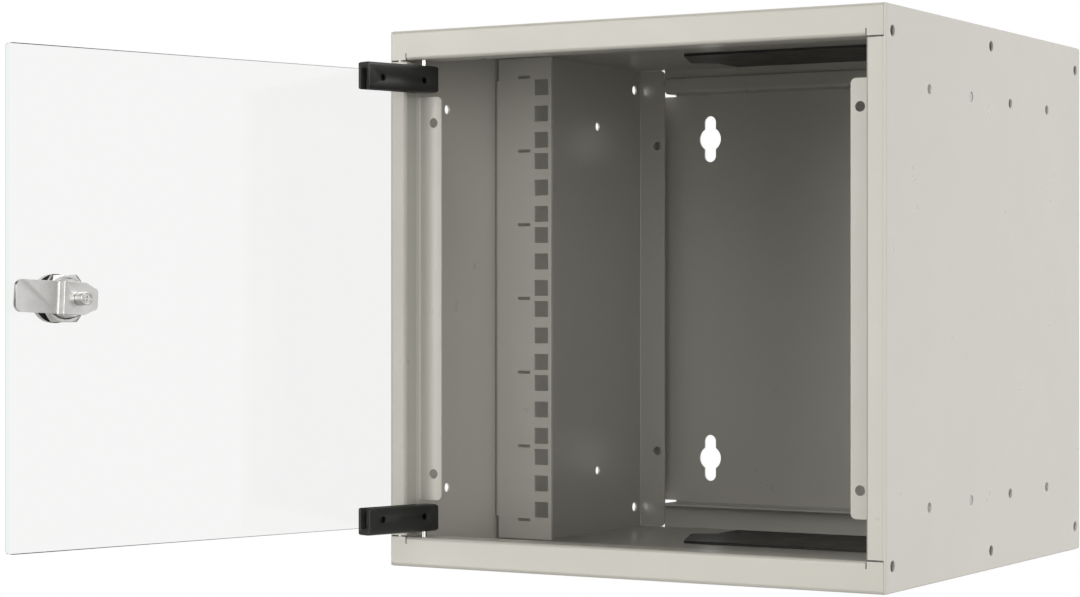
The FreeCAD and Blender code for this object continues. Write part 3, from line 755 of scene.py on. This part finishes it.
class CABINET_OT_fit_clamps(bpy.types.Operator):
    """Fits the two black hinge clamps, their rubber liners, grub screws and pins"""

    bl_idname = "cabinet.fit_clamps"
    bl_label = "Fit hinge clamps"

    def execute(self, context):
        blacks = context.scene.cabinet_blacks
        paint = moulded_plastic("black stove enamel", blacks.clamp_colour, roughness=0.38, grain=0.9 * MM)
        rubber = soft_rubber("black rubber liner", blacks.rubber_colour)
        socket = plated_metal("blackened screw steel", blacks.grub_colour, roughness=0.45)
        bright = plated_metal("bright pin steel", context.scene.cabinet_lock.pin_steel, roughness=0.22)
        for end, flip in ENDS.items():
            place = PANE @ flip
            self.clamp(end, place, blacks, paint)
            self.liner(end, place, rubber)
            self.grub_screws(end, place, socket)
            self.pin(end, bright)
        return {"FINISHED"}

    def grub_spots(self, end, place):
        """Each grub screw's place along the clamp, its height and where it starts and ends."""
        spots = []
        grubs = points_in(end + "_clamp_screws", place)
        middle = (min(p.x for p in grubs) + max(p.x for p in grubs)) / 2.0
        for group in ([p for p in grubs if p.x < middle], [p for p in grubs if p.x >= middle]):
            xs, ys, zs = ([p[i] for p in group] for i in range(3))
            spots.append(((min(xs) + max(xs)) / 2.0, (min(ys) + max(ys)) / 2.0, min(zs), max(zs)))
        return spots

    def clamp(self, end, place, blacks, paint):
        """Rounded block with a slot for the corner of the pane."""
        low, high = box_in(end + "_hinge_clamp", place)
        slot_low, slot_high = box_in(end + "_clamp_liner", place)
        section = rounded_rectangle(low.y, high.y, low.z, high.z, [blacks.clamp_soft] * 4)
        body = extruded(end + "_clamp_block", section, low.x, high.x, place @ ALONG)
        crisp, edge, corner, heel = 0.8 * MM, 0.6 * MM, blacks.clamp_corner, blacks.clamp_heel
        face = rounded_rectangle(low.x, high.x, low.y, high.y, [crisp, crisp, corner, corner])
        combine(body, extruded("face", face, low.z - MM, high.z + MM, place), "INTERSECT")
        plan = rounded_rectangle(low.x, high.x, low.z, high.z, [edge, edge, edge, heel])
        combine(body, extruded("plan", plan, -high.y - MM, -low.y + MM, place @ UPRIGHT), "INTERSECT")
        slot_end = (high.x + MM, slot_high.y, slot_high.z)
        combine(body, block("slot", (slot_low.x, low.y - MM, slot_low.z), slot_end, place), "DIFFERENCE")
        for x, y, start, _ in self.grub_spots(end, place):
            hole = extruded("hole", circle(GRUB_HOLE_RADIUS, 32, (x, y)), start, high.z + MM, place)
            combine(body, hole, "DIFFERENCE")
        soften(body, 0.25 * MM, 2, 50.0)
        place_piece(body, "door", paint, [end + "_hinge_clamp"], angle=30.0)

    def liner(self, end, place, rubber):
        """Rubber channel round the edge of the pane."""
        low, high = box_in(end + "_clamp_liner", place)
        wall = 0.6 * MM
        channel = block(end + "_liner", low, high, place)
        inside_low = (low.x + wall, low.y - MM, low.z + wall)
        inside_high = (high.x + MM, high.y - wall, high.z - wall)
        combine(channel, block("inside", inside_low, inside_high, place), "DIFFERENCE")
        soften(channel, 0.15 * MM, 2)
        place_piece(channel, "door", rubber, [end + "_clamp_liner"])

    def grub_screws(self, end, place, steel):
        """Two hexagon socket grub screws, set just below the face of the clamp."""
        screws = []
        r = GRUB_HOLE_RADIUS - 0.03 * MM
        for x, y, start, finish in self.grub_spots(end, place):
            spot = place @ Matrix.Translation((x, y, 0.0))
            profile = [(0.0, start), (r - 0.4 * MM, start), (r, start + 0.4 * MM), (r, finish - 0.35 * MM)]
            profile += [(r - 0.35 * MM, finish), (1.5 * MM, finish), (0.0, finish)]
            screw = lathed("grub", profile, spot, 32)
            key = extruded("key", polygon(6, 2.5 * MM), finish - 2.4 * MM, finish + MM, spot)
            combine(screw, key, "DIFFERENCE")
            screws.append(screw)
        place_piece(gather(end + "_grub_screws", screws), "door", steel, [end + "_clamp_screws"])

    def pin(self, end, steel):
        """Turned hinge pin with a rounded nose and an oil groove."""
        place = DOOR @ Matrix.Diagonal((1.0, 1.0, 1.0 if end == "upper" else -1.0, 1.0))
        low, high = box_in(end + "_hinge_pin", place)
        r = high.x
        profile = [(0.0, low.z), (r, low.z), (r, high.z - 2.9 * MM), (r - 0.2 * MM, high.z - 2.7 * MM)]
        profile += [(r - 0.2 * MM, high.z - 2.4 * MM), (r, high.z - 2.2 * MM), (r, high.z - 0.7 * MM)]
        profile += [(r - 0.25 * MM, high.z - 0.25 * MM), (r - 0.8 * MM, high.z), (0.0, high.z)]
        pin = lathed(end + "_turned_pin", profile, place, 40)
        place_piece(pin, "door", steel, [end + "_hinge_pin"])


class CABINET_OT_fit_lock(bpy.types.Operator):
    """Fits the lock body, its washers, its nut and its key plug"""

    bl_idname = "cabinet.fit_lock"
    bl_label = "Fit lock"

    def execute(self, context):
        lock = context.scene.cabinet_lock
        chrome = plated_metal("satin chrome", lock.chrome, roughness=0.24)
        rubber = soft_rubber("black rubber washer", context.scene.cabinet_blacks.rubber_colour)
        self.housing(lock, chrome)
        self.washer("outer", rubber, lock.facets)
        self.washer("inner", rubber, lock.facets)
        self.nut(lock, chrome)
        self.plug(lock, chrome)
        return {"FINISHED"}

    def housing(self, lock, chrome):
        """Bezel and threaded body."""
        low, high = box_in("lock_housing", LOCK)
        bezel, body, bore = high.x, BODY_RADIUS, 7.05 * MM
        seat, front, rear = box_in("lock_outer_washer", LOCK)[0].z, low.z, high.z
        profile = [(bore, rear), (bore, front + 0.5 * MM), (bore + 0.5 * MM, front)]
        profile += arc(bezel - 1.6 * MM, front + 1.6 * MM, 1.6 * MM, -90.0, 0.0)
        profile += [(bezel, seat - 0.2 * MM), (bezel - 0.2 * MM, seat), (body, seat)]
        rows = 84
        for row in range(rows + 1):
            profile.append((body, seat + (rear - 0.9 * MM - seat) * row / rows))
        profile += [(body - 0.9 * MM, rear)]

        def wave(angle, r, h):
            if r != body or h < seat + 0.5 * MM:
                return r
            turn = (h / lock.thread_pitch - angle / math.tau) % 1.0
            return r - lock.thread_depth * (1.0 - abs(2.0 * turn - 1.0)) ** 1.4

        piece = lathed("lock_body", profile, LOCK, lock.facets, wave)
        place_piece(piece, "door", chrome, ["lock_housing"], angle=40.0)

    def washer(self, side, rubber, steps):
        """Rubber washer between the lock and the pane."""
        node = "lock_" + side + "_washer"
        low, high = box_in(node, LOCK)
        r, b, e = high.x, BODY_RADIUS, 0.15 * MM
        profile = [(b, low.z), (r - e, low.z), (r, low.z + e), (r, high.z - e), (r - e, high.z), (b, high.z)]
        piece = lathed(side + "_seal", profile, LOCK, steps)
        place_piece(piece, "door", rubber, [node])

    def nut(self, lock, chrome):
        """Hexagon nut with turned corners."""
        low, high = box_in("lock_nut", LOCK)
        across = high.y - low.y
        corner = across / math.sqrt(3.0)
        piece = extruded("lock_hex_nut", polygon(6, across), low.z, high.z, LOCK)
        cut, rise, spare = 1.8 * MM, 1.3 * MM, 0.02 * MM
        profile = [(0.0, low.z), (corner - cut, low.z), (corner + spare, low.z + rise)]
        profile += [(corner + spare, high.z - rise), (corner - cut, high.z), (0.0, high.z)]
        combine(piece, lathed("turned corners", profile, LOCK, lock.facets), "INTERSECT")
        r, mouth, sink = BODY_RADIUS, BODY_RADIUS + 1.6 * MM, 0.6 * MM
        bore = [(0.0, low.z - MM), (mouth, low.z - MM), (r, low.z + sink)]
        bore += [(r, high.z - sink), (mouth, high.z + MM), (0.0, high.z + MM)]
        combine(piece, lathed("bore", bore, LOCK, lock.facets), "DIFFERENCE")
        soften(piece, 0.15 * MM, 2, 25.0)
        place_piece(piece, "door", chrome, ["lock_nut"], angle=25.0)

    def plug(self, lock, chrome):
        """Key plug with its keyway and the spigot that carries the cam."""
        low, high = box_in("lock_plug", LOCK)
        r, front, spigot = 6.95 * MM, low.z, high.z
        rear = box_in("lock_cam", LOCK)[1].z - lock.cam_gauge - 0.3 * MM
        profile = [(0.0, front + 0.25 * MM), (4.9 * MM, front + 0.25 * MM), (5.1 * MM, front)]
        profile += [(r - 0.4 * MM, front), (r, front + 0.4 * MM), (r, rear), (r - MM, rear)]
        profile += [(r - MM, rear + 0.3 * MM), (SPIGOT_RADIUS, rear + 0.3 * MM), (SPIGOT_RADIUS, spigot)]
        profile += [(0.0, spigot)]
        piece = lathed("key_plug", profile, KEY, lock.facets)
        wide, tall, deep = 1.1 * MM, 4.2 * MM, front + 7.0 * MM
        way = block("keyway", (-wide, -tall, front - MM), (wide, tall, deep), KEY, 0.9 * MM)
        combine(piece, way, "DIFFERENCE")
        place_piece(piece, "key_cam", chrome, ["lock_plug"])


class CABINET_OT_fit_cam(bpy.types.Operator):
    """Fits the stepped cam and the screw that holds it"""

    bl_idname = "cabinet.fit_cam"
    bl_label = "Fit cam"

    def execute(self, context):
        lock = context.scene.cabinet_lock
        chrome = plated_metal("satin chrome cam", lock.chrome, roughness=0.3, brushed=(1.0, 10.0, 1.0))
        low, high = box_in("lock_cam", KEY)
        cam = extruded("stepped_cam", self.section(lock, low, high), -high.y, high.y, KEY @ UPRIGHT)
        flat = extruded("flat", self.outline(lock, low, high), low.z - MM, high.z + MM, KEY)
        combine(cam, flat, "INTERSECT")
        hole = extruded("spigot hole", circle(SPIGOT_RADIUS + 0.02 * MM, 40), low.z - MM, high.z + MM, KEY)
        combine(cam, hole, "DIFFERENCE")
        soften(cam, 0.12 * MM, 2, 35.0)
        place_piece(cam, "key_cam", chrome, ["lock_cam"], angle=25.0)
        self.screw(lock, chrome)
        return {"FINISHED"}

    def section(self, lock, low, high):
        """The cam seen from its edge: plate, riser and tongue."""
        thick, outer, inner = lock.cam_gauge, 0.4 * MM, 0.12 * MM
        near = self.riser(high, thick) - thick
        far = near + thick
        section = [(low.x, high.z), (low.x, high.z - thick)]
        section += arc(near - inner, high.z - thick - inner, inner, 90.0, 0.0, 3)
        section += arc(near + inner, low.z + inner, inner, 180.0, 270.0, 3)
        section += [(high.x, low.z), (high.x, low.z + thick)]
        section += arc(far + inner, low.z + thick + inner, inner, 270.0, 180.0, 3)
        return section + arc(far - outer, high.z - outer, outer, 0.0, 90.0)

    def outline(self, lock, low, high):
        """The cam seen from its face: tongue with two round corners and a tapered tail."""
        half, corner, tail = high.y, lock.cam_corner, lock.cam_tail
        bend, lead, lift = 2.3 * MM, 0.5 * MM, 0.25 * MM
        shoulder = low.x + bend
        outline = arc(high.x - corner, -half + corner, corner, -90.0, 0.0)
        outline += arc(high.x - corner, half - corner, corner, 0.0, 90.0)
        outline += [(-lock.cam_taper, half), (shoulder + lead, tail + lift)]
        outline += arc(shoulder, tail - bend, bend, 80.0, 180.0)
        outline += arc(shoulder, -tail + bend, bend, 180.0, 280.0)
        return outline + [(shoulder + lead, -tail - lift), (-lock.cam_taper, -half)]

    def riser(self, high, thick):
        """Distance from the lock's axis to the outer face of the cam's riser."""
        return max(p.x for p in points_in("lock_cam", KEY) if p.z > high.z - thick / 2.0)

    def screw(self, lock, chrome):
        """Cylinder head screw with a turned ring and a cross recess in its end."""
        low, high = box_in("cam_screw", KEY)
        seat = box_in("lock_cam", KEY)[1].z
        r, top, shank, edge = high.x, high.z, 2.0 * MM, 0.35 * MM
        profile = [(0.0, low.z), (shank - 0.3 * MM, low.z), (shank, low.z + 0.3 * MM), (shank, seat)]
        profile += [(r - 0.15 * MM, seat), (r, seat + 0.15 * MM)]
        profile += arc(r - edge, top - edge, edge, 0.0, 90.0, 4)
        profile += [(r - 0.75 * MM, top), (r - 0.95 * MM, top - 0.5 * MM), (r - 1.25 * MM, top - 0.5 * MM)]
        profile += [(r - 1.45 * MM, top - 0.08 * MM), (0.0, top)]
        piece = lathed("cam_head_screw", profile, KEY, 48)
        recess = cross("recess", lock.socket, 0.7 * MM, top - 1.4 * MM, top + MM, KEY)
        combine(piece, recess, "DIFFERENCE")
        place_piece(piece, "key_cam", chrome, ["cam_screw"], angle=30.0)


# ---------------------------------------------------------------- stage
class CABINET_OT_set_stage(bpy.types.Operator):
    """Lays the floor, hangs the lights and sets up the camera"""

    bl_idname = "cabinet.set_stage"
    bl_label = "Set stage"

    def execute(self, context):
        stage = context.scene.cabinet_stage
        self.lay_floor(stage)
        self.light_surround(context.scene, stage)
        self.stand_camera(context.scene, stage)
        return {"FINISHED"}

    def lay_floor(self, stage):
        """A round floor below the cabinet."""
        level = CAD_BOX[0].z - stage.floor_drop
        rim = [(x, y, level) for x, y in circle(stage.floor_radius, 96)]
        floor = mesh_object("studio_floor", rim, [tuple(range(len(rim)))])
        floor.data.materials.append(stage_floor("studio floor", stage.floor_colour))

    def light_surround(self, scene, stage):
        """White backdrop on every side, lit from behind, from the front and from the sides."""
        world = bpy.data.worlds.new("studio surround")
        world.use_nodes = True
        scene.world = world
        tree = world.node_tree
        ways = tree.nodes.new("ShaderNodeTexCoord").outputs["Generated"]
        split = tree.nodes.new("ShaderNodeSeparateXYZ")
        tree.links.new(ways, split.inputs[0])
        light = self.smooth_step(tree, split.outputs["Y"], -0.10, 0.20, 0.0, stage.surround)
        for azimuth, height, spread, strength, tint in SOFT_LIGHTS:
            turn = Matrix.Rotation(math.radians(azimuth), 3, "Z") @ Matrix.Rotation(math.radians(-height), 3, "X")
            middle = turn @ Vector((0.0, -1.0, 0.0))
            light = self.soft_light(tree, ways, light, middle, spread, strength * stage.soft_lights, tint)
        lit = tree.nodes["Background"]
        tree.links.new(light, lit.inputs["Color"])
        self.show_backdrop(tree, lit, stage.surround)

    def soft_light(self, tree, ways, light, middle, spread, strength, tint):
        """Adds a round light with a soft rim to the light so far."""
        facing = tree.nodes.new("ShaderNodeVectorMath")
        facing.operation = "DOT_PRODUCT"
        tree.links.new(ways, facing.inputs[0])
        facing.inputs[1].default_value = middle
        rim, core = (math.cos(math.radians(spread * share)) for share in (1.5, 0.5))
        glow = self.smooth_step(tree, facing.outputs["Value"], rim, core, 0.0, strength)
        total = tree.nodes.new("ShaderNodeVectorMath")
        total.operation = "MULTIPLY_ADD"
        tree.links.new(glow, total.inputs[0])
        total.inputs[1].default_value = tint
        tree.links.new(light, total.inputs[2])
        return total.outputs["Vector"]

    def show_backdrop(self, tree, lit, brightness):
        """Shows a plain white backdrop where nothing stands, in place of the lights themselves."""
        backdrop = tree.nodes.new("ShaderNodeBackground")
        backdrop.inputs["Color"].default_value = rgba((1.0, 1.0, 1.0))
        backdrop.inputs["Strength"].default_value = brightness
        either = tree.nodes.new("ShaderNodeMixShader")
        tree.links.new(tree.nodes.new("ShaderNodeLightPath").outputs["Is Camera Ray"], either.inputs["Fac"])
        tree.links.new(lit.outputs["Background"], either.inputs[1])
        tree.links.new(backdrop.outputs["Background"], either.inputs[2])
        tree.links.new(either.outputs["Shader"], tree.nodes["World Output"].inputs["Surface"])

    def smooth_step(self, tree, value, start, end, low, high):
        """Maps a value to a range with soft ends."""
        node = tree.nodes.new("ShaderNodeMapRange")
        node.interpolation_type = "SMOOTHSTEP"
        tree.links.new(value, node.inputs["Value"])
        return set_range(node, start, end, low, high)

    def stand_camera(self, scene, stage):
        """The camera at eye level, to the right of the front."""
        scene.view_settings.view_transform = "Standard"
        camera = bpy.data.cameras.new("studio camera")
        camera.lens = stage.lens
        camera.sensor_width = 36.0
        stand = bpy.data.objects.new("studio camera", camera)
        stand.location = stage.eye
        stand.rotation_euler = (QUARTER, 0.0, stage.azimuth)
        scene.collection.objects.link(stand)
        scene.camera = stand


# ---------------------------------------------------------------- sidebar
class CABINET_PT_pieces(bpy.types.Panel):
    """Lists the pieces of the cabinet and their settings"""

    bl_idname = "CABINET_PT_pieces"
    bl_label = "Wall mount cabinet"
    bl_space_type = "VIEW_3D"
    bl_region_type = "UI"
    bl_category = "Cabinet"

    def draw(self, context):
        layout = self.layout
        for operator in OPERATORS:
            layout.operator(operator.bl_idname)
        for name, group in SETTINGS.items():
            box = layout.box()
            box.label(text=group.__doc__)
            for key in group.__annotations__:
                box.prop(getattr(context.scene, name), key)


OPERATORS = [
    CABINET_OT_coat_steel,
    CABINET_OT_fit_cable_covers,
    CABINET_OT_drive_rail_screws,
    CABINET_OT_hang_glass,
    CABINET_OT_fit_clamps,
    CABINET_OT_fit_lock,
    CABINET_OT_fit_cam,
    CABINET_OT_set_stage,
]
CLASSES = list(SETTINGS.values()) + OPERATORS + [CABINET_PT_pieces]


def register():
    """Registers the classes and their settings."""
    for cls in CLASSES:
        bpy.utils.register_class(cls)
    for name, group in SETTINGS.items():
        setattr(bpy.types.Scene, name, PointerProperty(type=group))


def unregister():
    """Takes the settings and the classes away again."""
    for name in SETTINGS:
        delattr(bpy.types.Scene, name)
    for cls in reversed(CLASSES):
        bpy.utils.unregister_class(cls)


def main():
    """Builds the whole scene."""
    register()
    bpy.ops.cabinet.coat_steel()
    bpy.ops.cabinet.fit_cable_covers()
    bpy.ops.cabinet.drive_rail_screws()
    bpy.ops.cabinet.hang_glass()
    bpy.ops.cabinet.fit_clamps()
    bpy.ops.cabinet.fit_lock()
    bpy.ops.cabinet.fit_cam()
    bpy.ops.cabinet.set_stage()


if __name__ == "__main__":
    main()
